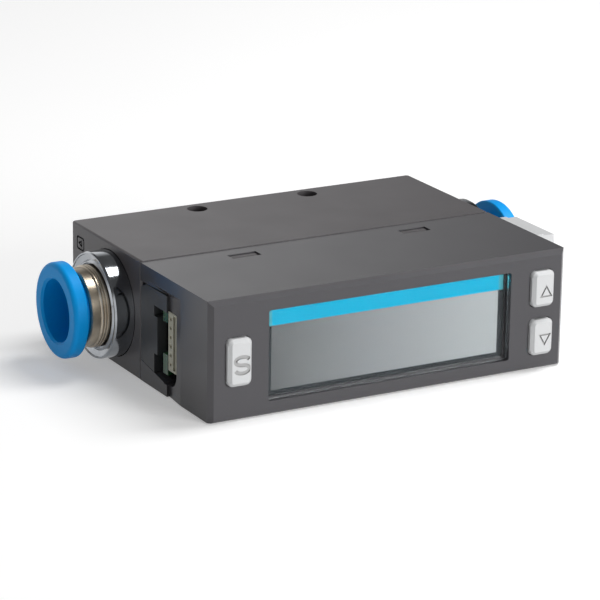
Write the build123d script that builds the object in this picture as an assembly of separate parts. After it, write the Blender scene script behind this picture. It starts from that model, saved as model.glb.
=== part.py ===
"""Compact digital gas flow meter for 10 mm tube.

A moulded flow body at the back carries the gas from a push-in port at its left end to one at its
right end. A display cover snaps on in front of it and holds the boards, the display and three keys.

The origin is the middle of the two mounting holes, on the underside. X runs along the flow, from
the left port to the right one, -Y points out of the display and Z is up. Sizes are in millimetres.
"""
from build123d import *
from math import cos, radians, sin
import os

# Clearances
fit_gap = 0.1            # around pieces that plug into one another
press_gap = 0.05         # round pieces that are pressed or dropped into a bore
sliding_gap = 0.08       # radial gap between the release ring and its barrel
seam_gap = 0.1           # between the cover's rim and the flow body
port_gap = 0.1           # the dark line round each collar
collar_gap = 0.25        # the black gap between the collar's face and the barrel
edge_match = 0.01        # how closely an edge is found by its place and radius

# Push-in ports, as radii and walls outwards from the tube
tube_radius = 5.0
tube_room = 0.1
release_wall = 0.65
release_rim = 2.0        # how far the release ring's flange stands out from its sleeve
barrel_wall = 0.6
barrel_step = 0.2
collar_wall = 2.22
channel_radius = 3.75

# Push-in ports, as lengths along the flow
release_thick = 2.35
release_travel = 1.0
release_reach = 2.1      # how far the ring's sleeve reaches into the body
release_nose = 0.8       # rounding of the flange
release_mouth = 0.35     # bevel of the bore that the tube enters
barrel_proud = 6.4
barrel_floor = 0.9
barrel_bevel = 0.2
barrel_ridges = 3
ridge_pitch = 0.45
ridge_depth = 0.12
collar_proud = 3.4
collar_reach = 5.0
collar_taper = 0.3       # length of the bevel behind the collar's rim
collar_bevel = 0.13      # and how far it narrows the rim
rim_width = 0.22
rim_step = 0.15
collar_dish = 0.45       # depth of the hollow in the collar's face
lip_width = 0.15         # inner rim, round the black gap
lip_drop = 0.2
collar_relief = 1.2      # depth of the black gap
grip_thick = 0.3
grip_teeth = 12
seal_length = 2.0
tube_seat = 2.0          # how far the tube runs past the barrel to its stop
ring_cord = 0.7          # radius of the sealing ring's section

# Flow body
body_depth = 25.4
body_skin = 1.1          # wall over and under the collars
port_front = 2.0         # wall between the collars and the seam
body_edge = 0.6          # rounding of the back corners
body_rim = 0.3           # rounding along the top, the ends and the base
seam_groove = 0.35       # bevel of the body's front corners, which darkens the seam at the sides

# Mounting holes, through the flow body from top to bottom
hole_radius = 1.7
hole_pitch = 20.8
hole_to_back = 2.9

# Display window, with its lens set on a ledge
window_length = 43.6
window_sill = 2.1        # from the cover's underside to the window
window_head = 2.65       # from the window to the cover's top
window_corner = 0.4
window_ledge = 0.4
ledge_thick = 0.4
lens_recess = 0.4
lens_thick = 1.0
lens_gap = 0.2
tint_height = 2.5
tint_thick = 0.15
tint_gap = 0.15          # from the film to the edge of the ledge

# Keys
key_width = 4.1
key_corner = 0.9
key_bevel = 0.55
key_proud = 1.0
key_gap = 0.15
key_flange = 0.5         # how much wider the flange is than the key, all round
key_flange_thick = 0.8
key_travel = 0.35
key_inset = 3.25         # from the window to the set key
key_room = 0.65          # from a key's flange to the cover's side wall
set_key_height = 7.6
arrow_shift = 0.4        # the arrow keys stand this much further out than the set key
arrow_inset = 0.325      # from the ends of the window's height to the arrow keys
arrow_gap = 2.15         # between the two arrow keys
switch_length = 4.4
switch_height = 3.4
switch_thick = 1.8
plunger_radius = 0.8
plunger_proud = 0.5
plunger_seat = 0.6       # how far the plunger reaches into its switch

# Display cover
cover_depth = 23.4
cover_wall = 1.7
cover_lift = 0.2         # the cover's underside stands this far above the base
cover_step = 0.15        # and its top this far below the body's
side_step = 0.1          # the cover stands out this far at each end
top_chamfer = 0.8
side_chamfer = 0.75
bottom_chamfer = 0.3

# Latches that hold the cover
latch_spacing = 31.2
latch_length = 5.1
latch_width = 2.1
latch_rim = 2.6          # from the latch slots to the cover's rim
latch_thick = 1.4
latch_play = 0.2

# Display stack behind the window
frame_wall = 0.5
frame_step = 0.5         # shelf between the display glass and the light guide
pane_margin = 1.2        # how far the display glass reaches past the window at each end
glass_thick = 1.7
guide_thick = 2.5
display_board_thick = 1.0

# Boards behind the display and the sockets at their ends
main_board_front = 14.2
main_board_thick = 1.6
board_margin = 0.35
tab_inset = 0.2          # from the end of a board tab to the cover's side
tab_overlap = 0.9        # how far the lower tab reaches up behind the panel's tongue
link_length = 12.0
link_height = 2.5
socket_width = 2.75
socket_depth = 4.3
socket_inset = 0.25      # from the socket's mouth to the cover's side
socket_foot = 4.6        # height of the socket's lower end
socket_key = 0.8         # width of the slot that keys the plug
socket_wall = 0.35
pin_count = 6
pin_size = 0.4
pin_hole = 0.5
pin_tail = 1.0           # how far the contacts reach past the socket, into the board

# Side openings of the cover: heights above its underside, and depths behind the socket's board
bay_head = 2.9           # from the opening to the cover's top
bay_sill_front = 1.9
bay_sill_back = 3.45
mouth_drop = 2.45        # from the opening's top to the top of the socket's mouth
mouth_corner = 2.4
mouth_depth = 4.4
tongue_depth = 3.3
tongue_drop = 2.0        # from the top of the mouth to the panel's tongue
tongue_base = 5.85
panel_head = 0.3         # how far the panel's upper arm dips below the mouth's top
panel_gap = 0.08
panel_cut = 0.9          # bevel of the panel's upper back corner
panel_flange = 1.5       # how far the panel reaches in behind the cover's wall

# Grip scoop beside the opening, and the groove over the panel
scoop_length = 4.6
scoop_deep = 0.45
scoop_rise = 0.65        # how far the scoop reaches above the opening
scoop_lean = 59.0        # lean of the scoop's upper end, in degrees
groove_length = 6.3

# Chassis that holds the main board
rail_thick = 1.4
rail_depth = 3.2
rail_gap = 0.2
post_width = 4.0
post_height = 3.4

# Flow element, sensor and its pocket in the face that the cover closes
element_length = 11.0
element_pitch = 1.55
element_hole = 0.55
screen_thick = 0.3
tap_reach = 2.0          # from the flow element's ends to the sensing taps
tap_radius = 0.6
tap_length = 2.4         # wall between the channel and the sensor pocket
sensor_margin = 2.5      # from a tap to the sensor's end
sensor_height = 6.0
sensor_thick = 1.7
sensor_passage = 0.6
sensor_wall = 0.5
sensor_board_thick = 1.0
gasket_thick = 0.6
boss_radius = 2.0
boss_spacing = 36.0
boss_margin = 4.0        # from a boss to the pocket's end

# Screws
screw_radius = 1.0
screw_length = 5.0
screw_head_radius = 1.9
screw_head_thick = 1.2
screw_gap = 0.55         # from the contacts to the heads of the main board's screws

# Blanking cap in the right-hand opening
cap_front = 11.6
cap_rim = 0.5            # from the cap to the cover's rim
cap_base = 1.6
cap_drop = 1.35          # from the cover's top to the cap's
cap_reach = 5.6
cap_step = 3.3
cap_ridge = 0.25
cap_edge = 0.4
cap_foot = 1.0           # how far its tongue plugs into the socket

# Radii of the ports
release_bore = tube_radius + tube_room
sleeve_radius = release_bore + release_wall
release_radius = sleeve_radius + release_rim
barrel_bore = sleeve_radius + sliding_gap
barrel_radius = barrel_bore + barrel_wall
collar_radius = barrel_radius + collar_wall
collar_mouth = barrel_radius + barrel_step + collar_gap

# Places along the flow, out from the body's end face
ring_back = barrel_proud + release_travel + fit_gap
ring_front = ring_back + release_thick
grip_front = -release_reach - release_travel - fit_gap
seal_front = grip_front - grip_thick - fit_gap
seal_back = seal_front - seal_length
barrel_end = seal_back - barrel_floor
tube_stop = barrel_end - tube_seat

# The housing round the ports and the window
body_height = 2 * (collar_radius + port_gap + body_skin)
cover_height = body_height - cover_lift - cover_step
front_wall = lens_recess + lens_thick + ledge_thick
key_outset = key_inset + key_width + key_room + key_flange + cover_wall
cover_length = window_length + 2 * key_outset
body_length = cover_length - 2 * side_step
axis_from_seam = port_front + port_gap + collar_radius
back_y = hole_to_back
seam_y = back_y - body_depth
front_y = seam_y - seam_gap - cover_depth
axis_y = seam_y + axis_from_seam
axis_z = body_height / 2
end_x = body_length / 2
side_x = cover_length / 2
inner_x = side_x - cover_wall
inner_base = cover_lift + cover_wall
inner_top = cover_lift + cover_height - cover_wall
inner_z = (inner_base + inner_top) / 2
inner_height = inner_top - inner_base

# Window and keys
window_height = cover_height - window_sill - window_head
window_z = cover_lift + window_sill + window_height / 2
arrow_height = (window_height - 2 * arrow_inset - arrow_gap) / 2
set_key_x = -window_length / 2 - key_inset - key_width / 2
arrow_x = arrow_shift - set_key_x

# Depths behind the display face
frame_front = front_wall + fit_gap
guide_front = frame_front + glass_thick + fit_gap
display_board_front = guide_front + guide_thick + fit_gap
stem_end = display_board_front - switch_thick - plunger_proud
board_back = main_board_front + main_board_thick
latch_front = cover_depth - latch_rim - latch_width
seam_depth = cover_depth + seam_gap
pocket_depth = axis_from_seam - channel_radius - tap_length
pocket_floor = seam_depth + pocket_depth
sensor_back = pocket_floor - gasket_thick
sensor_board_back = sensor_back - sensor_thick
sensor_board_front = sensor_board_back - sensor_board_thick
chassis_back = cover_depth - rail_gap

# Pocket, sensor and latch arms
arm_base = inner_base + latch_play
arm_top = inner_top - latch_play
pocket_skin = arm_base + latch_thick
pocket_height = body_height - 2 * pocket_skin
pocket_length = boss_spacing + 2 * boss_margin
tap_spacing = element_length + 2 * tap_reach
sensor_length = tap_spacing + 2 * sensor_margin
rail_base = arm_base + latch_thick + rail_gap
rail_top = arm_top - latch_thick - rail_gap
post_z = rail_base + rail_thick + post_height / 2

# Side openings
bay_front = main_board_front - socket_width - socket_inset
bay_top = cover_height - bay_head
mouth_top = bay_top - mouth_drop
mouth_back = main_board_front + mouth_depth
tongue_front = main_board_front + tongue_depth
tongue_top = mouth_top - tongue_drop
arm_foot = mouth_top - panel_head
scoop_top = bay_top + scoop_rise
socket_outer = side_x - socket_inset
socket_top = cover_lift + mouth_top - press_gap
pins_end = socket_outer - socket_depth - pin_tail
screw_spacing = 2 * (pins_end - screw_gap - screw_head_radius)
pin_depth = main_board_front - (socket_width - socket_key - socket_wall) / 2


def block(x, y, z):
    """A box given by its limits along each axis."""
    middle = Pos((x[0] + x[1]) / 2, (y[0] + y[1]) / 2, (z[0] + z[1]) / 2)
    return middle * Box(x[1] - x[0], y[1] - y[0], z[1] - z[0])


def around(middle, size):
    """The limits of a stretch of the given size about its middle."""
    return (middle - size / 2, middle + size / 2)


def behind(near, far):
    """The limits along Y of a stretch measured back from the display face."""
    return (front_y + near, front_y + far)


def plate(x, z, length, height, corner, near, far):
    """A flat plate with rounded corners that faces the display side."""
    face = Plane(origin=(x, front_y + far, z), x_dir=(1, 0, 0), z_dir=(0, -1, 0))
    return extrude(face * RectangleRounded(length, height, corner), far - near)


def crosswise(radius, x, z, near, far):
    """A round pin or hole that runs from front to back."""
    middle = Pos(x, front_y + (near + far) / 2, z) * Rot(90, 0, 0)
    return middle * Cylinder(radius, far - near)


def along(radius, start, finish):
    """A round pin or hole on the flow axis."""
    middle = Pos((start + finish) / 2, axis_y, axis_z) * Rot(0, 90, 0)
    return middle * Cylinder(radius, finish - start)


def turned(side, points):
    """A ring turned about the flow axis; a point is its distance out from the end face, and its radius."""
    outline = [(side * (end_x + out), radius) for out, radius in points]
    return Pos(0, axis_y, axis_z) * revolve(make_face(Polyline(*outline, close=True)), Axis.X)


def in_side_view(points, inner, outer):
    """A plate at one side of the cover, drawn by depth behind the display face and height."""
    corners = [(inner, front_y + depth, cover_lift + height) for depth, height in points]
    return extrude(make_face(Polyline(*corners, close=True)), amount=outer - inner, dir=(1, 0, 0))


def in_top_view(points, base, top):
    """An upright prism, drawn by its place along X and its depth behind the display face."""
    corners = [(x, front_y + depth, base) for x, depth in points]
    return extrude(make_face(Polyline(*corners, close=True)), amount=top - base, dir=(0, 0, 1))


def at_side(side, right_hand):
    """A piece modelled for the right-hand side, or its mirror image for the left."""
    return right_hand if side > 0 else mirror(right_hand, Plane.YZ)


def sill(depth):
    """Height of the side opening's sloping sill at a depth behind the display face."""
    rise = (bay_sill_back - bay_sill_front) / (cover_depth - main_board_front)
    return bay_sill_front + rise * (depth - main_board_front)


def latch_hook(x, upward):
    """One arm with a ramped hook, reaching forward from the flow body into a slot of the cover."""
    out = 1 if upward else -1
    skin = arm_top if upward else arm_base
    crown = skin + out * cover_wall
    under = skin - out * latch_thick
    root = seam_depth + latch_thick
    front = latch_front + latch_play
    hook_back = latch_front + latch_width - latch_play
    hook_crest = (front + hook_back) / 2
    outline = [
        (front, under), (root, under), (root, skin), (hook_back, skin),
        (hook_back, crown), (hook_crest, crown), (front, skin),
    ]
    half = latch_length / 2 - latch_play
    corners = [(x - half, front_y + depth, height) for depth, height in outline]
    return extrude(make_face(Polyline(*corners, close=True)), amount=2 * half, dir=(1, 0, 0))


def flow_body():
    """Rear housing: the channel, a seat for each fitting, the sensor pocket and the latch arms."""
    body = block((-end_x, end_x), (seam_y, back_y), (0, body_height))
    body = fillet(body.edges().filter_by(Axis.Z).group_by(Axis.Y)[-1], body_edge)
    body = chamfer(body.edges().filter_by(Axis.Z).group_by(Axis.Y)[0], seam_groove)
    rims = body.faces().sort_by(Axis.Z)[0].edges() + body.faces().sort_by(Axis.Z)[-1].edges()
    body = fillet([edge for edge in rims if edge.center().Y > seam_y + seam_groove], body_rim)
    body -= along(channel_radius, -end_x, end_x)
    collar_seat = collar_radius + port_gap
    barrel_seat = barrel_radius + fit_gap
    for side in (-1, 1):
        body -= turned(side, [
            (1, 0), (1, collar_seat), (-collar_reach - fit_gap, collar_seat),
            (-collar_reach - fit_gap, barrel_seat), (barrel_end - fit_gap, barrel_seat),
            (barrel_end - fit_gap, release_bore), (tube_stop, release_bore), (tube_stop, 0),
        ])
        body -= Pos(side * hole_pitch / 2, 0, axis_z) * Cylinder(hole_radius, body_height + 2)
    pocket_y = behind(seam_depth - 1, pocket_floor)
    body -= block(around(0, pocket_length), pocket_y, around(axis_z, pocket_height))
    for side in (-1, 1):
        boss_x = side * boss_spacing / 2
        tap_x = side * tap_spacing / 2
        body -= crosswise(tap_radius, tap_x, axis_z, pocket_floor - 1, seam_depth + axis_from_seam)
        body += crosswise(boss_radius, boss_x, axis_z, sensor_board_back, pocket_floor)
        screw_end = sensor_board_front + screw_length
        body -= crosswise(screw_radius, boss_x, axis_z, sensor_board_back, screw_end)
        for x in (-latch_spacing / 2, latch_spacing / 2):
            body += latch_hook(x, side > 0)
    return body


def side_bay(side):
    """What is cut from one side of the cover: the bay for the end panel, the mouth and the scoop."""
    past = cover_depth + 1
    deep = inner_x - 1
    proud = side_x + 1
    shoulder = main_board_front
    bay = in_side_view(
        [(shoulder, bay_sill_front), (past, sill(past)), (past, bay_top), (shoulder, bay_top)], deep, proud)
    mouth = in_side_view(
        [(bay_front, bay_sill_front), (shoulder + 1, bay_sill_front), (shoulder + 1, mouth_top),
         (bay_front, mouth_top)],
        deep, proud)
    low_corner = mouth.edges().filter_by(Axis.X).group_by(Axis.Y)[0].sort_by(Axis.Z)[0]
    mouth = fillet(low_corner, mouth_corner)
    scoop_front = shoulder - scoop_length
    groove_back = shoulder + groove_length
    ridge = (side_x - scoop_deep, shoulder)
    scoop = in_top_view(
        [(side_x, scoop_front), (proud, scoop_front), (proud, shoulder), ridge],
        cover_lift - 1, cover_lift + scoop_top + 1)
    groove = in_top_view(
        [ridge, (proud, shoulder), (proud, groove_back), (side_x, groove_back)],
        cover_lift + bay_top - 1, cover_lift + scoop_top + 1)
    lid = Pos(side_x, front_y + shoulder, cover_lift + scoop_top) * Rot(0, -scoop_lean, 0)
    hood = lid * Pos(0, 0, cover_wall) * Box(4 * cover_wall, 2 * cover_depth, 2 * cover_wall)
    return at_side(side, bay + mouth + (scoop + groove - hood))


def front_cover():
    """Display cover: a shell open at the back, with the window, key slots, latch slots and side bays."""
    top_z = cover_lift + cover_height
    cover = block((-side_x, side_x), behind(0, cover_depth), (cover_lift, top_z))
    corners = cover.edges().filter_by(Axis.Z).group_by(Axis.Y)[0]
    cover = chamfer(corners, side_chamfer)
    front = cover.faces().sort_by(Axis.Y)[0]
    cover = chamfer(front.edges().filter_by(Axis.X).sort_by(Axis.Z)[-1], top_chamfer)
    front = cover.faces().sort_by(Axis.Y)[0]
    cover = chamfer(front.edges().filter_by(Axis.X).sort_by(Axis.Z)[0], bottom_chamfer)
    cover -= block((-inner_x, inner_x), behind(front_wall, cover_depth + 1), (inner_base, inner_top))
    cover -= plate(0, window_z, window_length, window_height, window_corner, -1, lens_recess + lens_thick)
    cover -= plate(0, window_z, window_length - 2 * window_ledge, window_height - 2 * window_ledge,
                   window_corner, lens_recess, front_wall + 1)
    for x, z, height in key_places():
        cover -= plate(x, z, key_width + 2 * key_gap, height + 2 * key_gap, key_corner + key_gap,
                       -1, front_wall + 1)
    for x in (-latch_spacing / 2, latch_spacing / 2):
        slot = behind(latch_front, latch_front + latch_width)
        cover -= block(around(x, latch_length), slot, (cover_lift - 1, top_z + 1))
    for side in (-1, 1):
        cover -= side_bay(side)
    return cover


def key_places():
    """Middle and height of each key: the set key at the left, the arrow keys one above the other."""
    rise = (arrow_height + arrow_gap) / 2
    return [
        (set_key_x, window_z, set_key_height),
        (arrow_x, window_z + rise, arrow_height),
        (arrow_x, window_z - rise, arrow_height),
    ]


def key(x, z, height):
    """One key: a bevelled cap, a flange that stays behind the cover's wall, and a stem to its switch."""
    flange_front = front_wall + fit_gap
    flange_back = flange_front + key_flange_thick
    cap = plate(x, z, key_width, height, key_corner, -key_proud, flange_back)
    cap = chamfer(cap.faces().sort_by(Axis.Y)[0].edges(), key_bevel)
    flange = plate(x, z, key_width + 2 * key_flange, height + 2 * key_flange, key_corner,
                   flange_front, flange_back)
    stem = crosswise(plunger_radius + fit_gap, x, z, flange_front, stem_end)
    return cap + flange + stem


def switch_plunger(x, z):
    """The push-button's plunger, which a key's stem presses into the switch."""
    return crosswise(plunger_radius, x, z, stem_end, stem_end + plunger_proud + plunger_seat)


def key_switches():
    """The three push-button switches on the display board, each bored for its plunger."""
    front = display_board_front - switch_thick
    bore_end = front + plunger_seat + key_travel + fit_gap
    switches = []
    for x, z, height in key_places():
        case = block(around(x, switch_length), behind(front, display_board_front), around(z, switch_height))
        switches.append(case - crosswise(plunger_radius + sliding_gap, x, z, front - 1, bore_end))
    return Compound(children=switches)


def display_lens():
    """Clear window that sits on its ledge in the cover's front wall."""
    length = window_length - 2 * lens_gap
    height = window_height - 2 * lens_gap
    corner = window_corner - lens_gap / 2
    return plate(0, window_z, length, height, corner, lens_recess, lens_recess + lens_thick)


def tint_strip():
    """Translucent coloured film on the display glass, along the window's upper edge."""
    top = window_z + window_height / 2 - window_ledge - tint_gap
    length = window_length - 2 * window_ledge - 2 * tint_gap
    return block(around(0, length), behind(frame_front - tint_thick, frame_front), (top - tint_height, top))


def pane_size():
    """Length and height of the display glass, which reaches past the window all round."""
    return (window_length + 2 * pane_margin, inner_height - 2 * (fit_gap + frame_wall + press_gap))


def display_frame():
    """Moulded shadow box: the display glass lies in its front seat, the light guide in the back one."""
    length, height = pane_size()
    length += 2 * press_gap
    height += 2 * press_gap
    back = display_board_front - press_gap
    frame = block(around(0, length + 2 * frame_wall), behind(frame_front, back),
                  around(inner_z, height + 2 * frame_wall))
    frame -= block(around(0, length), behind(frame_front - 1, frame_front + glass_thick + press_gap),
                   around(inner_z, height))
    return frame - block(around(0, length - 2 * frame_step), behind(frame_front, back + 1),
                         around(inner_z, height - 2 * frame_step))


def display_pane(near, thick, shelf):
    """A sheet that fills one of the frame's seats: the display glass or the light guide behind it."""
    length, height = pane_size()
    depth = behind(near, near + thick)
    return block(around(0, length - 2 * shelf), depth, around(inner_z, height - 2 * shelf))


def display_board():
    """Small board across the back of the display, with the key switches on its front."""
    depth = behind(display_board_front, display_board_front + display_board_thick)
    length = 2 * (inner_x - board_margin)
    return block(around(0, length), depth, around(inner_z, inner_height - 2 * board_margin))


def main_board():
    """Main board, with two tabs at each end that reach into the side openings."""
    depth = behind(main_board_front, board_back)
    board = block(around(0, 2 * (inner_x - board_margin)), depth, (rail_base, rail_top))
    tabs = (
        (rail_base, cover_lift + tongue_base + tab_overlap),
        (cover_lift + tongue_top, cover_lift + arm_foot - fit_gap),
    )
    for tab in tabs:
        board += block(around(0, 2 * (side_x - tab_inset)), depth, tab)
    for side in (-1, 1):
        board -= crosswise(screw_radius + fit_gap, side * screw_spacing / 2, post_z, main_board_front - 1,
                           board_back + 1)
    return board


def chassis():
    """Inner frame: rails and posts that carry the main board, and a panel in each side opening."""
    rail_y = behind(chassis_back - rail_depth, chassis_back)
    frame = block((-inner_x, inner_x), rail_y, (rail_base, rail_base + rail_thick))
    frame += block((-inner_x, inner_x), rail_y, (rail_top - rail_thick, rail_top))
    for side in (-1, 1):
        post_x = side * screw_spacing / 2
        frame += block(around(post_x, post_width), behind(board_back, chassis_back),
                       (rail_base, rail_base + rail_thick + post_height))
        frame -= crosswise(screw_radius, post_x, post_z, board_back, main_board_front + screw_length)
        flange_x = sorted((side * (inner_x - panel_flange), side * (inner_x - press_gap)))
        frame += block(flange_x, behind(mouth_back, chassis_back), (rail_base, rail_top))
        frame += end_panel(side)
    return frame


def end_panel(side):
    """The flush panel in a side opening: an arm over the socket's mouth, and a tongue beside the socket."""
    head = bay_top - panel_gap
    front = main_board_front + panel_gap
    outline = [
        (mouth_back, sill(mouth_back) + panel_gap), (chassis_back, sill(chassis_back) + panel_gap),
        (chassis_back, head - panel_cut), (chassis_back - 2 * panel_cut, head), (front, head),
        (front, arm_foot), (mouth_back, arm_foot), (mouth_back, tongue_top), (tongue_front, tongue_top),
        (tongue_front, tongue_base), (mouth_back, tongue_base),
    ]
    panel = in_side_view(outline, inner_x - panel_flange, side_x)
    clear_of_board = in_side_view(
        [(bay_front, 0), (mouth_back - fit_gap, 0), (mouth_back - fit_gap, bay_top), (bay_front, bay_top)],
        inner_x - panel_flange - 1, inner_x + fit_gap)
    return at_side(side, panel - clear_of_board)


def side_socket(side):
    """Socket against the main board: a row of contact holes, and beside it a slot that keys the plug."""
    near = main_board_front - socket_width
    body = block((socket_outer - socket_depth, socket_outer), behind(near, main_board_front),
                 (socket_foot, socket_top))
    slot_near = near + socket_wall
    slot_y = behind(slot_near, slot_near + socket_key)
    body -= block((socket_outer - socket_depth + 1, socket_outer + 1), slot_y,
                  (socket_foot + socket_wall, socket_top - socket_wall))
    for z in pin_heights():
        body -= block((socket_outer - socket_depth - 1, socket_outer + 1),
                      around(front_y + pin_depth, pin_hole), around(z, pin_hole))
    return at_side(side, body)


def pin_heights():
    """Heights of the socket's contacts, evenly spaced."""
    foot = socket_foot + socket_wall
    pitch = (socket_top - socket_wall - foot) / pin_count
    return [foot + (place + 0.5) * pitch for place in range(pin_count)]


def socket_pins(side):
    """The row of contacts in one socket, a little inside its mouth."""
    pins = []
    for z in pin_heights():
        pin = block((pins_end, socket_outer - pin_size),
                    around(front_y + pin_depth, pin_size), around(z, pin_size))
        pins.append(at_side(side, pin))
    return Compound(children=pins)


def blanking_cap():
    """Light grey cap that closes the right-hand socket and stands out of the cover's side."""
    foot = side_x + press_gap
    depth = behind(cap_front, cover_depth - cap_rim)
    base = cover_lift + cap_base
    top = cover_lift + cover_height - cap_drop
    cap = block((foot, foot + cap_reach), depth, (base, top))
    cap = fillet(cap.faces().sort_by(Axis.X)[-1].edges(), cap_edge)
    cap += block((foot, foot + cap_step), depth, (base, top + cap_ridge))
    slot_near = main_board_front - socket_width + socket_wall
    tongue_y = behind(slot_near + fit_gap, slot_near + socket_key - fit_gap)
    tongue = block((side_x - cap_foot, foot + 1), tongue_y,
                   (socket_foot + socket_wall + fit_gap, socket_top - socket_wall - fit_gap))
    return cap + tongue


def board_link(near, far):
    """A pin-header block that joins two boards."""
    depth = behind(near + press_gap, far - press_gap)
    return block(around(0, link_length), depth, around(axis_z, link_height))


def sensor_board():
    """Board in the flow body's pocket, which carries the flow sensor on its back."""
    board = block(around(0, pocket_length - 2 * board_margin), behind(sensor_board_front, sensor_board_back),
                  around(axis_z, pocket_height - 2 * board_margin))
    for side in (-1, 1):
        board -= crosswise(screw_radius + fit_gap, side * boss_spacing / 2, axis_z, sensor_board_front - 1,
                           sensor_board_back + 1)
    return board


def flow_sensor():
    """Thermal flow sensor, with a small gas passage that joins the two taps."""
    passage_back = sensor_back - sensor_wall
    passage_front = passage_back - sensor_passage
    depth = behind(sensor_board_back, sensor_back)
    sensor = block(around(0, sensor_length), depth, around(axis_z, sensor_height))
    sensor -= block(around(0, tap_spacing), behind(passage_front, passage_back),
                    around(axis_z, 2 * tap_radius))
    for side in (-1, 1):
        sensor -= crosswise(tap_radius, side * tap_spacing / 2, axis_z, passage_front, sensor_back + 1)
    return sensor


def sensor_gasket():
    """Rubber gasket between the sensor and the pocket's floor, with a hole for each tap."""
    gasket = plate(0, axis_z, sensor_length, sensor_height, boss_radius / 2, sensor_back, pocket_floor)
    for side in (-1, 1):
        gasket -= crosswise(tap_radius + fit_gap, side * tap_spacing / 2, axis_z,
                            sensor_back - 1, pocket_floor + 1)
    return gasket


def flow_element():
    """Honeycomb plug that makes the flow laminar and gives the sensor its pressure drop."""
    half = element_length / 2
    plug = along(channel_radius - press_gap, -half, half)
    for row in (-2, -1, 0, 1, 2):
        count = 5 - abs(row)
        for place in range(count):
            across = (place - (count - 1) / 2) * element_pitch
            up = row * element_pitch * sin(radians(60))
            plug -= Pos(0, across, up) * along(element_hole, -half - 1, half + 1)
    return plug


def mesh_screen(side):
    """Fine screen held against one end of the flow element."""
    near = side * (element_length / 2 + press_gap)
    start, finish = sorted((near, near + side * screen_thick))
    screen = along(channel_radius - press_gap, start, finish) - along(element_hole, start - 1, finish + 1)
    for turn in range(6):
        across = channel_radius / 2 * cos(radians(60 * turn))
        up = channel_radius / 2 * sin(radians(60 * turn))
        screen -= Pos(0, across, up) * along(element_hole, start - 1, finish + 1)
    return screen


def port_collar(side):
    """Plated collar pressed into the body's end, with a bevelled rim and a dished face."""
    bore = barrel_radius + press_gap
    groove_mid = -collar_reach / 2
    groove_half = ring_cord + fit_gap
    groove_floor = collar_radius - 2 * ring_cord
    rim = collar_radius - collar_bevel
    lip = collar_proud - lip_drop
    relief = collar_proud - collar_relief
    return turned(side, [
        (-collar_reach, bore), (-collar_reach, collar_radius),
        (groove_mid - groove_half, collar_radius), (groove_mid - groove_half, groove_floor),
        (groove_mid + groove_half, groove_floor), (groove_mid + groove_half, collar_radius),
        (collar_proud - collar_taper, collar_radius), (collar_proud, rim),
        (collar_proud, rim - rim_width), (collar_proud - rim_step, rim - rim_width - rim_step / 2),
        (collar_proud - collar_dish, collar_mouth + 3 * lip_width), (lip, collar_mouth + lip_width),
        (lip, collar_mouth), (relief, collar_mouth), (relief, bore),
    ])


def sealing_ring(side):
    """Rubber ring in the collar's groove, which seals it in the body."""
    middle = side * (end_x - collar_reach / 2)
    torus = Torus(collar_radius + port_gap - ring_cord - press_gap / 2, ring_cord)
    return Pos(middle, axis_y, axis_z) * Rot(0, 90, 0) * torus


def fitting_barrel(side):
    """Nickel-plated sleeve of the push-in fitting, with turned ridges where it leaves the collar."""
    thick = barrel_radius + barrel_step
    dent = thick - ridge_depth
    ridges = []
    for ridge in range(barrel_ridges):
        crest = collar_proud + ridge * ridge_pitch
        ridges += [(crest, thick), (crest + ridge_pitch / 2, thick), (crest + 0.75 * ridge_pitch, dent)]
    foot = collar_proud - collar_relief + 2 * fit_gap
    last = collar_proud + barrel_ridges * ridge_pitch
    floor = seal_back - press_gap
    return turned(side, [
        (barrel_end, release_bore), (barrel_end, barrel_radius), (foot, barrel_radius), (foot, thick),
        *ridges, (last, barrel_radius), (barrel_proud - barrel_bevel, barrel_radius),
        (barrel_proud, barrel_radius - barrel_bevel), (barrel_proud, barrel_bore), (floor, barrel_bore),
        (floor, release_bore),
    ])


def grip_ring(side):
    """Spring-steel ring whose teeth hold the tube."""
    back = grip_front - grip_thick
    outer = barrel_bore - press_gap
    bend = tube_radius + release_wall / 2
    lean = grip_thick / 3
    ring = turned(side, [
        (back, bend), (back, outer), (grip_front, outer), (grip_front, bend),
        (grip_front - lean, tube_radius), (back - lean, tube_radius),
    ])
    slot = Box(4 * grip_thick, grip_thick, grip_thick)
    for tooth in range(grip_teeth):
        turn = Pos(side * (end_x + back), axis_y, axis_z) * Rot(360 * tooth / grip_teeth, 0, 0)
        ring -= turn * Pos(0, 0, tube_radius + tube_room) * slot
    return ring


def tube_seal(side):
    """Rubber lip ring that seals on the tube behind the grip ring."""
    lip = tube_radius + press_gap
    outer = barrel_bore - press_gap
    room = outer - lip
    return turned(side, [
        (seal_back, lip + 0.3 * room), (seal_back, outer), (seal_front, outer),
        (seal_front, outer - 0.3 * room), (seal_front - 0.3 * seal_length, lip + 0.4 * room),
        (seal_front - fit_gap, lip), (seal_front - 0.4 * seal_length, lip),
    ])


def release_ring(side):
    """Blue ring that is pushed in to let the tube go: a flange and a sleeve inside the barrel."""
    ring = turned(side, [
        (-release_reach, release_bore), (-release_reach, sleeve_radius), (ring_back, sleeve_radius),
        (ring_back, release_radius), (ring_front, release_radius), (ring_front, release_bore),
    ])
    ring = fillet(round_edges(ring, ring_front, release_radius), release_nose)
    ring = fillet(round_edges(ring, ring_back, release_radius), release_nose / 3)
    return chamfer(round_edges(ring, ring_front, release_bore), release_mouth)


def round_edges(ring, out, radius):
    """The round edge of a turned piece at a distance out from the end face."""
    edges = ring.edges().filter_by(GeomType.CIRCLE)
    level = [edge for edge in edges if abs(abs(edge.center().X) - end_x - out) < edge_match]
    return [edge for edge in level if abs(edge.radius - radius) < edge_match]


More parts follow.
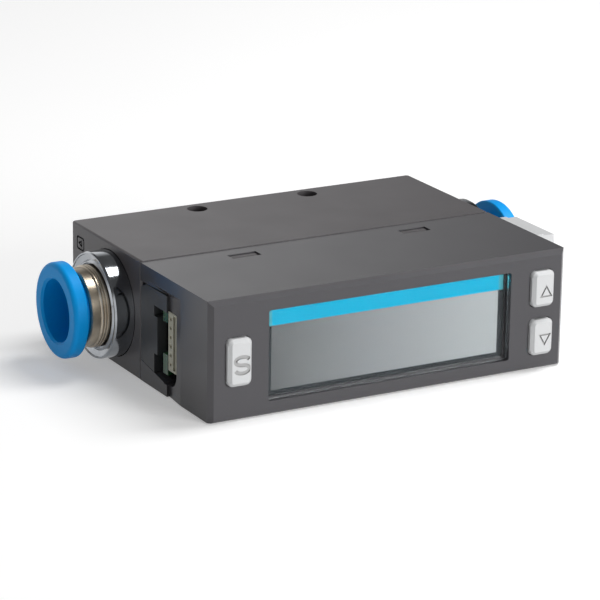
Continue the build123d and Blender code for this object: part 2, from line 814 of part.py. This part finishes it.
def board_screws():
    """The four screws that hold the main board to the chassis and the sensor board to the body."""
    screws = []
    places = [(screw_spacing, post_z, main_board_front), (boss_spacing, axis_z, sensor_board_front)]
    for spacing, z, near in places:
        for x in (-spacing / 2, spacing / 2):
            shank = crosswise(screw_radius - press_gap, x, z, near - fit_gap, near + screw_length - fit_gap)
            head = crosswise(screw_head_radius, x, z, near - screw_head_thick, near)
            screws.append(shank + head)
    return Compound(children=screws)


nodes = {
    "flow_body": flow_body(),
    "front_cover": front_cover(),
    "chassis": chassis(),
    "display_lens": display_lens(),
    "tint_strip": tint_strip(),
    "display_frame": display_frame(),
    "display_glass": display_pane(frame_front, glass_thick, 0),
    "light_guide": display_pane(guide_front, guide_thick, frame_step),
    "display_board": display_board(),
    "key_switches": key_switches(),
    "main_board": main_board(),
    "display_link": board_link(display_board_front + display_board_thick, main_board_front),
    "sensor_link": board_link(board_back, sensor_board_front),
    "sensor_board": sensor_board(),
    "flow_sensor": flow_sensor(),
    "sensor_gasket": sensor_gasket(),
    "board_screws": board_screws(),
    "flow_element": flow_element(),
    "blanking_cap": blanking_cap(),
}
for name, (x, z, height) in zip(("s", "up", "down"), key_places()):
    nodes["key_" + name] = key(x, z, height)
    nodes["plunger_" + name] = switch_plunger(x, z)
for name, side in (("left", -1), ("right", 1)):
    nodes["side_socket_" + name] = side_socket(side)
    nodes["socket_pins_" + name] = socket_pins(side)
    nodes["mesh_screen_" + name] = mesh_screen(side)
    nodes["port_collar_" + name] = port_collar(side)
    nodes["sealing_ring_" + name] = sealing_ring(side)
    nodes["fitting_barrel_" + name] = fitting_barrel(side)
    nodes["grip_ring_" + name] = grip_ring(side)
    nodes["tube_seal_" + name] = tube_seal(side)
    nodes["release_ring_" + name] = release_ring(side)

os.makedirs("parts", exist_ok=True)
for name, solid in nodes.items():
    export_step(solid, f"parts/{name}.step")
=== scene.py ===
"""The looks of a compact gas flow meter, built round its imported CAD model, piece by piece."""
import math
import bmesh
import bpy
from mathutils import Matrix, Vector


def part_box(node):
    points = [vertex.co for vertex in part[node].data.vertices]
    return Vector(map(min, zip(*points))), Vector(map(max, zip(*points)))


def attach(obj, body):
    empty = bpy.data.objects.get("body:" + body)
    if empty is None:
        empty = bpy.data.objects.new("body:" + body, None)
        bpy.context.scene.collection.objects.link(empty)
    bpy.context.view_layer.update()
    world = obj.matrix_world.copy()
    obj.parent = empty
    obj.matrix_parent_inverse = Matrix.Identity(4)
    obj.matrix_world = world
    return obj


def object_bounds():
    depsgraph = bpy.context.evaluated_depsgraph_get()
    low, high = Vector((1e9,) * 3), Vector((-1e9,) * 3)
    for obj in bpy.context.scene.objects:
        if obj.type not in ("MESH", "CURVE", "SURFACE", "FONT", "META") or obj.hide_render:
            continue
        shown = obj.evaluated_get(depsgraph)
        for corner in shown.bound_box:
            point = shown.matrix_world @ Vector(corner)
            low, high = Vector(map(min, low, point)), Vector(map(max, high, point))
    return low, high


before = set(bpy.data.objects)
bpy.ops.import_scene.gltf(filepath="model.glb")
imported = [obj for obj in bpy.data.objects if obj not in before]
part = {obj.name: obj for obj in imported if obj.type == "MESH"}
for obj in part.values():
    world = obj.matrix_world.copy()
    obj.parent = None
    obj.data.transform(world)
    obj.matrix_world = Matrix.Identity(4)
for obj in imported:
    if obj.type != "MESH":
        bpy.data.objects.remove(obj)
cad_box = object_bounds()
mm = 0.001

# Flow body: the rear housing, moulded in dark grey glass-filled polyamide. The gas channel, the
# port seats and the two mounting holes are formed in one piece. The mould is spark-eroded, which
# leaves a fine even grain with a low sheen, so the faces mirror a bright backdrop at a flat angle.
body_grey = "#4c494b"
moulded_grain = 0.16 * mm       # real grain is near 0.05 mm, drawn coarser so that it shows
moulded_depth = 0.004 * mm
moulded_patch = 9 * mm          # slow change of sheen where the melt cooled unevenly
patch_sheen = 0.05              # what that change adds to the roughness or takes from it


def linear(colour):
    """An sRGB hex colour as the linear one that a shader takes."""
    channels = [int(colour[start:start + 2], 16) / 255 for start in (1, 3, 5)]
    return [c / 12.92 if c <= 0.04045 else ((c + 0.055) / 1.055) ** 2.4 for c in channels] + [1]


def add(tree, kind, settings=None, links=None):
    """Adds a shader node, with values for its sockets or properties and the sockets that feed it."""
    made = tree.nodes.new("ShaderNode" + kind)
    for name, value in (settings or {}).items():
        if isinstance(name, int) or name in made.inputs:
            made.inputs[name].default_value = value
        else:
            setattr(made, name, value)
    for name, socket in (links or {}).items():
        tree.links.new(socket, made.inputs[name])
    return made


def new_material(name):
    """An empty material and its node tree."""
    made = bpy.data.materials.new(name)
    made.use_nodes = True
    made.node_tree.nodes.clear()
    return made, made.node_tree


def moulded_plastic(name, colour, roughness, ior=1.53, grain=moulded_grain, depth=moulded_depth, tone=0.05):
    """A moulded thermoplastic: the tool's grain, toned by a share, and a slow change of sheen."""
    made, tree = new_material(name)
    place = add(tree, "TexCoord").outputs["Object"]
    patch = add(tree, "TexNoise", {"Scale": 1 / moulded_patch, "Detail": 3}, {"Vector": place})
    pits = add(tree, "TexNoise", {"Scale": 1 / grain, "Detail": 2, "Roughness": 0.6}, {"Vector": place})
    sheen = add(tree, "MapRange", {"To Min": roughness - patch_sheen, "To Max": roughness + patch_sheen},
                {"Value": patch.outputs["Fac"]})
    dark = [channel * (1 - tone) for channel in linear(colour)[:3]] + [1]
    light = [channel * (1 + tone) for channel in linear(colour)[:3]] + [1]
    shade = add(tree, "Mix", {"data_type": "RGBA", 6: dark, 7: light}, {0: pits.outputs["Fac"]})
    bump = add(tree, "Bump", {"Distance": depth, "Strength": 0.6}, {"Height": pits.outputs["Fac"]})
    shader = add(tree, "BsdfPrincipled", {"IOR": ior}, {
        "Base Color": shade.outputs[2],
        "Roughness": sheen.outputs["Result"],
        "Normal": bump.outputs["Normal"],
    })
    add(tree, "OutputMaterial", links={"Surface": shader.outputs["BSDF"]})
    return made


def dress(names, material):
    """Gives each named CAD piece one material."""
    for name in names:
        part[name].data.materials.clear()
        part[name].data.materials.append(material)


dress(["flow_body"], moulded_plastic("glass_filled_polyamide", body_grey, 0.34, ior=1.45))

# Flow mark: a small arrowhead in a square outline, moulded into the body's left end as shallow
# grooves, close to the back and top edges. The grooves get a darker plastic, painted shade for the
# little light that they catch.
mark_stroke = 0.32 * mm
mark_half = Vector((1.25, 1.0)) * mm
mark_round = Vector((0.4, 0.4)) * mm
mark_inset = Vector((3.4, 3.0)) * mm    # from the body's back and top edges to the mark's middle
mark_arrow = ((-0.5, 0.45), (0.55, 0.0), (-0.5, -0.45))     # in millimetres from that middle
cut_depth = 0.25 * mm
mitre_limit = 0.4               # lowest cosine at a bend, so that a sharp corner doesn't shoot out


def arc(middle, reach, first, last, steps):
    """Points along an arc with the given half axes, from a first angle to a last one in degrees."""
    turns = [math.radians(first + (last - first) * step / steps) for step in range(steps + 1)]
    return [middle + Vector((reach.x * math.cos(turn), reach.y * math.sin(turn))) for turn in turns]


def ribbon(name, points, stroke, front, back, closed, endwise):
    """A bar of the given stroke along points in an upright plane, from a front to a back depth."""
    made = bmesh.new()
    rows = []
    count = len(points)
    for place, point in enumerate(points):
        before = points[(place - 1) % count] if closed or place else point
        after = points[(place + 1) % count] if closed or place < count - 1 else point
        into = (point - before).normalized()
        out = (after - point).normalized()
        if into.length == 0 or out.length == 0:
            into = out = into + out
        bend = (into + out).normalized()
        reach = stroke / 2 / max(bend.dot(into), mitre_limit)
        side = Vector((-bend.y, bend.x)) * reach
        section = ((point + side, front), (point - side, front), (point - side, back), (point + side, back))
        rows.append([made.verts.new((depth, at.x, at.y) if endwise else (at.x, depth, at.y))
                     for at, depth in section])
    for place in range(count if closed else count - 1):
        here = rows[place]
        there = rows[(place + 1) % count]
        for edge in range(4):
            far = (edge + 1) % 4
            made.faces.new((here[edge], here[far], there[far], there[edge]))
    if not closed:
        made.faces.new(rows[0])
        made.faces.new(rows[-1])
    bmesh.ops.recalc_face_normals(made, faces=made.faces)
    mesh = bpy.data.meshes.new(name)
    made.to_mesh(mesh)
    made.free()
    bar = bpy.data.objects.new(name, mesh)
    bpy.context.scene.collection.objects.link(bar)
    return bar


def engrave(node, body, points, stroke, face, material, name="sign", closed=True, endwise=False):
    """Cuts a sign into a face; the cutter is hidden and moves with the piece."""
    cutter = ribbon(node + "_" + name, points, stroke, face - cut_depth, face + cut_depth, closed, endwise)
    cutter.data.materials.append(material)
    cutter.hide_render = True
    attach(cutter, body)
    cut = part[node].modifiers.new(name, "BOOLEAN")
    cut.object = cutter
    cut.solver = "EXACT"
    cut.material_mode = "TRANSFER"


# Painted shade: the walls of the mark's grooves get a darker plastic than the body.
groove_painted_shade = moulded_plastic("glass_filled_polyamide_painted_shade", "#232324", 0.5)
body_low, body_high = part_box("flow_body")
mark_middle = Vector((body_high.y, body_high.z)) - mark_inset
square = []
for right, high, first in ((1, 1, 0), (-1, 1, 90), (-1, -1, 180), (1, -1, 270)):
    corner = mark_middle + Vector((right, high)) * (mark_half - mark_round)
    square += arc(corner, mark_round, first, first + 90, 2)
arrow = [mark_middle + Vector(corner) * mm for corner in mark_arrow]
for name, outline in (("mark_frame", square), ("mark_arrow", arrow)):
    engrave("flow_body", "meter", outline, mark_stroke, body_low.x, groove_painted_shade, name, endwise=True)

# Laminar element and its screens: a white acetal honeycomb plug pressed into the middle of the gas
# channel, with a stainless steel screen against each end. A straight look into a port meets them.
stain_size = 3 * mm             # blotches that handling and cleaning leave on metal
stain_sheen = (0.7, 1.4)        # the shares of its roughness that they bring it down and up to
element_low, element_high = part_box("flow_element")
flow_axis = (element_low + element_high) / 2


def turned_metal(name, colour, tint, roughness, pitch, depth):
    """Metal with fine rings round the flow axis, as a lathe leaves them, which spread a highlight."""
    made, tree = new_material(name)
    place = add(tree, "TexCoord").outputs["Object"]
    split = add(tree, "SeparateXYZ", links={"Vector": place})
    across = add(tree, "Math", {"operation": "SUBTRACT", 1: flow_axis.y}, {0: split.outputs["Y"]}).outputs[0]
    up = add(tree, "Math", {"operation": "SUBTRACT", 1: flow_axis.z}, {0: split.outputs["Z"]}).outputs[0]
    across_squared = add(tree, "Math", {"operation": "MULTIPLY"}, {0: across, 1: across}).outputs[0]
    up_squared = add(tree, "Math", {"operation": "MULTIPLY"}, {0: up, 1: up}).outputs[0]
    squares = add(tree, "Math", {"operation": "ADD"}, {0: across_squared, 1: up_squared}).outputs[0]
    radius = add(tree, "Math", {"operation": "POWER", 1: 0.5}, {0: squares}).outputs[0]
    rings = add(tree, "CombineXYZ", links={"X": split.outputs["X"], "Y": radius})
    marks = add(tree, "TexNoise", {"Scale": 1 / pitch, "Detail": 2}, {"Vector": rings.outputs[0]})
    stain = add(tree, "TexNoise", {"Scale": 1 / stain_size, "Detail": 4}, {"Vector": place})
    least, most = (share * roughness for share in stain_sheen)
    sheen = add(tree, "MapRange", {"To Min": least, "To Max": most}, {"Value": stain.outputs["Fac"]})
    shade = add(tree, "Mix", {"data_type": "RGBA", 6: linear(colour), 7: linear(tint)},
                {0: stain.outputs["Fac"]})
    bump = add(tree, "Bump", {"Distance": depth, "Strength": 0.5}, {"Height": marks.outputs["Fac"]})
    shader = add(tree, "BsdfPrincipled", {"Metallic": 1.0}, {
        "Base Color": shade.outputs[2],
        "Roughness": sheen.outputs["Result"],
        "Normal": bump.outputs["Normal"],
    })
    add(tree, "OutputMaterial", links={"Surface": shader.outputs["BSDF"]})
    return made


dress(["flow_element"], moulded_plastic("white_acetal", "#d8d8d4", 0.42, ior=1.48))
dress(["mesh_screen_left", "mesh_screen_right"],
      turned_metal("stainless_mesh", "#8e8f90", "#b0b0b0", 0.35, pitch=0.3 * mm, depth=0.004 * mm))

# Flow sensor: a thermal sensor in a black nylon housing on its green glass-epoxy board, which two
# screws hold to the body. A rubber gasket seals it over the two taps of the gas channel.
track_length = 1.53             # in millimetres, as one unit of the brick pattern is set to 1 mm
track_rows = 0.54
track_edge = 0.054


def circuit_board():
    """Glass-epoxy board under green solder resist, with paler tracks and a high gloss."""
    made, tree = new_material("green_solder_resist")
    place = add(tree, "TexCoord").outputs["Object"]
    tracks = add(tree, "TexBrick", {
        "Color1": linear("#14401f"), "Color2": linear("#10361a"), "Mortar": linear("#5c8f68"),
        "Scale": 1 / mm, "Mortar Size": track_edge, "Brick Width": track_length, "Row Height": track_rows,
    }, {"Vector": place})
    shader = add(tree, "BsdfPrincipled", {"Roughness": 0.22, "IOR": 1.55},
                 {"Base Color": tracks.outputs["Color"]})
    add(tree, "OutputMaterial", links={"Surface": shader.outputs["BSDF"]})
    return made


solder_resist = circuit_board()
black_nylon = moulded_plastic("black_nylon", "#161617", 0.45)
seal_rubber = moulded_plastic("nitrile_rubber", "#121213", 0.62, ior=1.52, grain=0.1 * mm)
dress(["flow_sensor"], black_nylon)
dress(["sensor_board"], solder_resist)
dress(["sensor_gasket"], seal_rubber)

# Push-in fittings: in each end a polished, chromium plated collar, sealed by a rubber ring, carries a
# turned brass barrel with a thin nickel plate, which looks warmer. Inside are the toothed ring and
# the lip seal, and the blue acetal release ring slides in the barrel's mouth.
zinc_plate = turned_metal("zinc_plated_steel", "#a8aaac", "#c0c2c6", 0.28, pitch=0.2 * mm, depth=0.003 * mm)
dress(["sealing_ring_left", "sealing_ring_right", "tube_seal_left", "tube_seal_right"], seal_rubber)
dress(["grip_ring_left", "grip_ring_right"], zinc_plate)
dress(["port_collar_left", "port_collar_right"],
      turned_metal("chromium_plate", "#85888c", "#b9bdc2", 0.11, pitch=0.5 * mm, depth=0.002 * mm))
dress(["fitting_barrel_left", "fitting_barrel_right"],
      turned_metal("nickel_plated_brass", "#6e5c48", "#dcd2c0", 0.30, pitch=0.16 * mm, depth=0.008 * mm))
dress(["release_ring_left", "release_ring_right"],
      moulded_plastic("blue_acetal", "#0099e6", 0.46, ior=1.25, grain=0.3 * mm, tone=0.03))

# Chassis and main board: a black frame, moulded in polyamide a little darker than the cover's, carries
# the board on two screws and clips into the cover, where its end panels fill the side bays nearly
# flush. Pin headers join the board to those of the sensor and the display.
dress(["chassis"], moulded_plastic("chassis_polyamide", "#3a3b3d", 0.36, ior=1.42))
dress(["main_board"], solder_resist)
dress(["sensor_link", "display_link"], black_nylon)
dress(["board_screws"], zinc_plate)

# Side sockets: moulded in ivory polyamide round a row of gold-flashed contacts, which are soldered to
# the ends of the main board. Their mouths show in the side bays.
dress(["side_socket_left", "side_socket_right"], moulded_plastic("ivory_polyamide", "#aeac9b", 0.45))
dress(["socket_pins_left", "socket_pins_right"],
      turned_metal("gold_flash", "#c8a050", "#e0c078", 0.25, pitch=0.2 * mm, depth=0.002 * mm))

# Display: a grey liquid-crystal panel in a black frame, lit through a white acrylic guide from its
# own board. The panel's border is masked dark, and its field is painted lighter to the right: painted
# light that stands in for the uneven light from the guide.
field_half = 20.45 * mm         # half the field's width
field_base = 3.4 * mm           # height at which it starts
matt_print = {"Roughness": 0.5, "Specular IOR Level": 0.05}     # hardly any gloss, deep behind the lens


def display_panel():
    """Liquid-crystal cell: a field with painted light, lighter to the right, in a dark printed border."""
    made, tree = new_material("liquid_crystal_cell")
    split = add(tree, "SeparateXYZ", links={"Vector": add(tree, "TexCoord").outputs["Object"]})
    # Painted light: the field's colour ramps from darker on the left to lighter on the right.
    painted_light_ramp = add(tree, "MapRange", {"From Min": -field_half, "From Max": field_half},
                {"Value": split.outputs["X"]})
    field = add(tree, "Mix", {"data_type": "RGBA", 6: linear("#535353"), 7: linear("#898a8a")},
                {0: painted_light_ramp.outputs["Result"]})
    away = add(tree, "Math", {"operation": "ABSOLUTE"}, {0: split.outputs["X"]})
    inside = add(tree, "Math", {"operation": "LESS_THAN", 1: field_half}, {0: away.outputs[0]})
    above = add(tree, "Math", {"operation": "GREATER_THAN", 1: field_base}, {0: split.outputs["Z"]})
    mask = add(tree, "Math", {"operation": "MULTIPLY"}, {0: inside.outputs[0], 1: above.outputs[0]})
    shade = add(tree, "Mix", {"data_type": "RGBA", 6: linear("#26292b")},
                {0: mask.outputs[0], 7: field.outputs[2]})
    shader = add(tree, "BsdfPrincipled", matt_print, {"Base Color": shade.outputs[2]})
    add(tree, "OutputMaterial", links={"Surface": shader.outputs["BSDF"]})
    return made


dress(["display_board"], solder_resist)
dress(["light_guide"], moulded_plastic("white_acrylic", "#e6e6e2", 0.35, ior=1.49))
dress(["display_frame"], black_nylon)
dress(["display_glass"], display_panel())

# Display cover: the front shell, moulded in the same polyamide as the body, with sharp flat
# chamfers. It snaps over the body's latch arms, which show in the two slots on top.
dress(["front_cover"], moulded_plastic("cover_polyamide", "#474649", 0.24, ior=1.42))

# Window: a clear acrylic lens bonded on its ledge, with a cyan film behind its upper edge. The film
# is darker where the panel's border lies behind it.
lens_ior = 1.2                  # below acrylic's 1.49, as a coat takes the glare away


def clear_acrylic():
    """Acrylic with a thin glare coat: it lets the light on the panel straight through."""
    made, tree = new_material("clear_acrylic")
    glass = add(tree, "BsdfPrincipled", {
        "Base Color": linear("#f4f8fa"), "Roughness": 0.02, "IOR": lens_ior, "Transmission Weight": 1.0,
    })
    clear = add(tree, "BsdfTransparent")
    shadow_ray = add(tree, "LightPath").outputs["Is Shadow Ray"]
    mix = add(tree, "MixShader", links={0: shadow_ray, 1: glass.outputs[0], 2: clear.outputs[0]})
    add(tree, "OutputMaterial", links={"Surface": mix.outputs[0]})
    return made


def cyan_film():
    """Printed film: an even cyan ink, duller past the lit field."""
    made, tree = new_material("cyan_film")
    split = add(tree, "SeparateXYZ", links={"Vector": add(tree, "TexCoord").outputs["Object"]})
    away = add(tree, "Math", {"operation": "ABSOLUTE"}, {0: split.outputs["X"]})
    past = add(tree, "Math", {"operation": "GREATER_THAN", 1: field_half}, {0: away.outputs[0]})
    shade = add(tree, "Mix", {"data_type": "RGBA", 6: linear("#0084a0"), 7: linear("#3a8089")},
                {0: past.outputs[0]})
    shader = add(tree, "BsdfPrincipled", matt_print, {"Base Color": shade.outputs[2]})
    add(tree, "OutputMaterial", links={"Surface": shader.outputs["BSDF"]})
    return made


dress(["display_lens"], clear_acrylic())
dress(["tint_strip"], cyan_film())

# Keys: light grey ABS caps with bevelled edges, moulded with their signs as grooves, whose walls get a
# darker grey as painted shade. Each lies in its slot of the cover, over the black plunger of its switch.
sign_stroke = 0.60 * mm
arrow_stroke = 0.26 * mm
letter_reach = Vector((1.20, 0.65)) * mm    # half axes of the letter's upper and lower bowl
letter_shift = Vector((0.22, -0.35)) * mm   # the signs sit a little low and to the right
arrow_shift = Vector((0.35, -0.35)) * mm
arrow_half = 0.95 * mm
arrow_rise = 0.80 * mm


def key_middle(node):
    """The middle of a key's face, as X and Z, and the depth of the face."""
    low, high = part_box(node)
    return Vector(((low.x + high.x) / 2, (low.z + high.z) / 2)), low.y


key_plastic = moulded_plastic("light_grey_abs", "#c2c3c4", 0.42, tone=0.02)
# Painted shade: a darker grey for the walls of the signs' grooves, where little light falls.
groove_painted_shade_abs = moulded_plastic("light_grey_abs_painted_shade", "#a2a2a2", 0.55, tone=0.02)
dress(["key_switches", "plunger_s", "plunger_up", "plunger_down"], black_nylon)
dress(["key_s", "key_up", "key_down"], key_plastic)
middle, face = key_middle("key_s")
bowl = Vector((0, letter_reach.y))
upper = arc(middle + letter_shift + bowl, letter_reach, 15, 270, 17)
lower = arc(middle + letter_shift - bowl, letter_reach, 75, -165, 16)
engrave("key_s", "set_key", upper + lower, sign_stroke, face, groove_painted_shade_abs, closed=False)
for node, body, tip in (("key_up", "up_key", 1), ("key_down", "down_key", -1)):
    middle, face = key_middle(node)
    corners = [middle + arrow_shift + Vector((right * arrow_half, high * tip * arrow_rise))
               for right, high in ((0, 1), (1, -1), (-1, -1))]
    engrave(node, body, corners, arrow_stroke, face, groove_painted_shade_abs)

# Blanking cap: moulded in pale PBT and pushed on the right-hand socket. Its coarse spark-eroded
# grain gives it a rough, slightly mottled face.
dress(["blanking_cap"],
      moulded_plastic("pale_pbt", "#cbcccd", 0.5, grain=0.5 * mm, depth=0.02 * mm, tone=0.06))

# Floor: a wide white board under the meter. To the camera and in reflections it is white, and it
# keeps the soft shadow under the meter.
floor_half = 3.0                # in metres
floor_patches = 40.0            # slight changes of tone from side to side
floor_tone = (0.78, 0.82)
floor_glow = 0.30
floor_mesh = bpy.data.meshes.new("floor")
floor_mesh.from_pydata([(-floor_half, -floor_half, 0), (floor_half, -floor_half, 0),
                        (floor_half, floor_half, 0), (-floor_half, floor_half, 0)], [], [(0, 1, 2, 3)])
floor = bpy.data.objects.new("floor", floor_mesh)
bpy.context.scene.collection.objects.link(floor)


def any_ray(tree, *kinds):
    """One for rays of any of the given kinds, zero for the rest."""
    path = add(tree, "LightPath")
    found = path.outputs[kinds[0]]
    for kind in kinds[1:]:
        found = add(tree, "Math", {"operation": "MAXIMUM"}, {0: found, 1: path.outputs[kind]}).outputs[0]
    return found


def white_floor():
    """White board: part of its white is its own, so that it stays white and still holds a shadow."""
    made, tree = new_material("white_board")
    patches = add(tree, "TexNoise", {"Scale": floor_patches})
    tone = add(tree, "MapRange", {"To Min": floor_tone[0], "To Max": floor_tone[1]},
               {"Value": patches.outputs["Fac"]})
    board = add(tree, "BsdfDiffuse", links={"Color": tone.outputs["Result"]})
    glow = add(tree, "Emission", {"Strength": floor_glow})
    lifted = add(tree, "AddShader", links={0: board.outputs[0], 1: glow.outputs[0]})
    direct = any_ray(tree, "Is Camera Ray", "Is Glossy Ray", "Is Transmission Ray")
    mix = add(tree, "MixShader", links={0: direct, 1: board.outputs[0], 2: lifted.outputs[0]})
    add(tree, "OutputMaterial", links={"Surface": mix.outputs[0]})
    return made


floor_mesh.materials.append(white_floor())

# Studio light: a large softbox in front on the right leaves the left end in half shade, and a narrow
# one overhead draws the bright streak on the plated collar. The back wall is white low down and falls
# off to the right and upwards, which gives the top faces their slow change of tone.
white = linear("#ffffff")
upward_fall = {"From Min": 0.34, "From Max": 0.60, "To Min": 1.0, "To Max": 0.12}
rightward_fall = {"From Min": 0.40, "From Max": 0.56, "To Min": 1.1, "To Max": 0.10}
world = bpy.data.worlds.new("studio")
bpy.context.scene.world = world
world.use_nodes = True
sky = world.node_tree
sky.nodes.clear()
toward = add(sky, "SeparateXYZ", links={"Vector": add(sky, "TexCoord").outputs["Generated"]})
upward = add(sky, "MapRange", upward_fall, {"Value": toward.outputs["Z"]})
rightward = add(sky, "MapRange", rightward_fall, {"Value": toward.outputs["X"]})
wall_tone = add(sky, "Math", {"operation": "MULTIPLY"}, {0: upward.outputs[0], 1: rightward.outputs[0]})
reflected = add(sky, "Background", {"Color": white}, {"Strength": wall_tone.outputs[0]})
ambient = add(sky, "Background", {"Color": white, "Strength": 0.26})
backdrop = add(sky, "Background", {"Color": white, "Strength": 1.0})
mirrored = any_ray(sky, "Is Glossy Ray", "Is Transmission Ray")
direct = any_ray(sky, "Is Camera Ray")
lit = add(sky, "MixShader", links={0: mirrored, 1: ambient.outputs[0], 2: reflected.outputs[0]})
seen = add(sky, "MixShader", links={0: direct, 1: lit.outputs[0], 2: backdrop.outputs[0]})
add(sky, "OutputWorld", links={"Surface": seen.outputs[0]})


def softbox(name, place, aim, size, watts):
    """An oblong area lamp, aimed at a point."""
    lamp = bpy.data.lights.new(name, "AREA")
    lamp.shape = "RECTANGLE"
    lamp.size, lamp.size_y = size
    lamp.energy = watts
    made = bpy.data.objects.new(name, lamp)
    bpy.context.scene.collection.objects.link(made)
    made.location = place
    made.rotation_mode = "QUATERNION"
    made.rotation_quaternion = (Vector(aim) - Vector(place)).to_track_quat("-Z", "Y")


meter_middle = (cad_box[0] + cad_box[1]) / 2
softbox("front_softbox", place=(0.32, -0.82, 0.20), aim=meter_middle, size=(0.45, 0.35), watts=6.2)
softbox("overhead_strip", place=(0.30, -0.05, 0.56), aim=meter_middle, size=(0.22, 0.40), watts=2.6)

# Camera: a long lens from the front left, a little above. Its place and angles were found from the
# straight edges of the housing, for a square picture.
camera_place = Vector((-239.08, -442.02, 162.46)) * mm
camera_angles = (72.341, -0.816, -29.077)
camera_data = bpy.data.cameras.new("camera")
camera_data.lens = 187.9
camera_data.sensor_width = 36.0
camera = bpy.data.objects.new("camera", camera_data)
camera.location = camera_place
camera.rotation_euler = [math.radians(angle) for angle in camera_angles]
bpy.context.scene.collection.objects.link(camera)
bpy.context.scene.camera = camera
bpy.context.scene.view_settings.view_transform = "Standard"
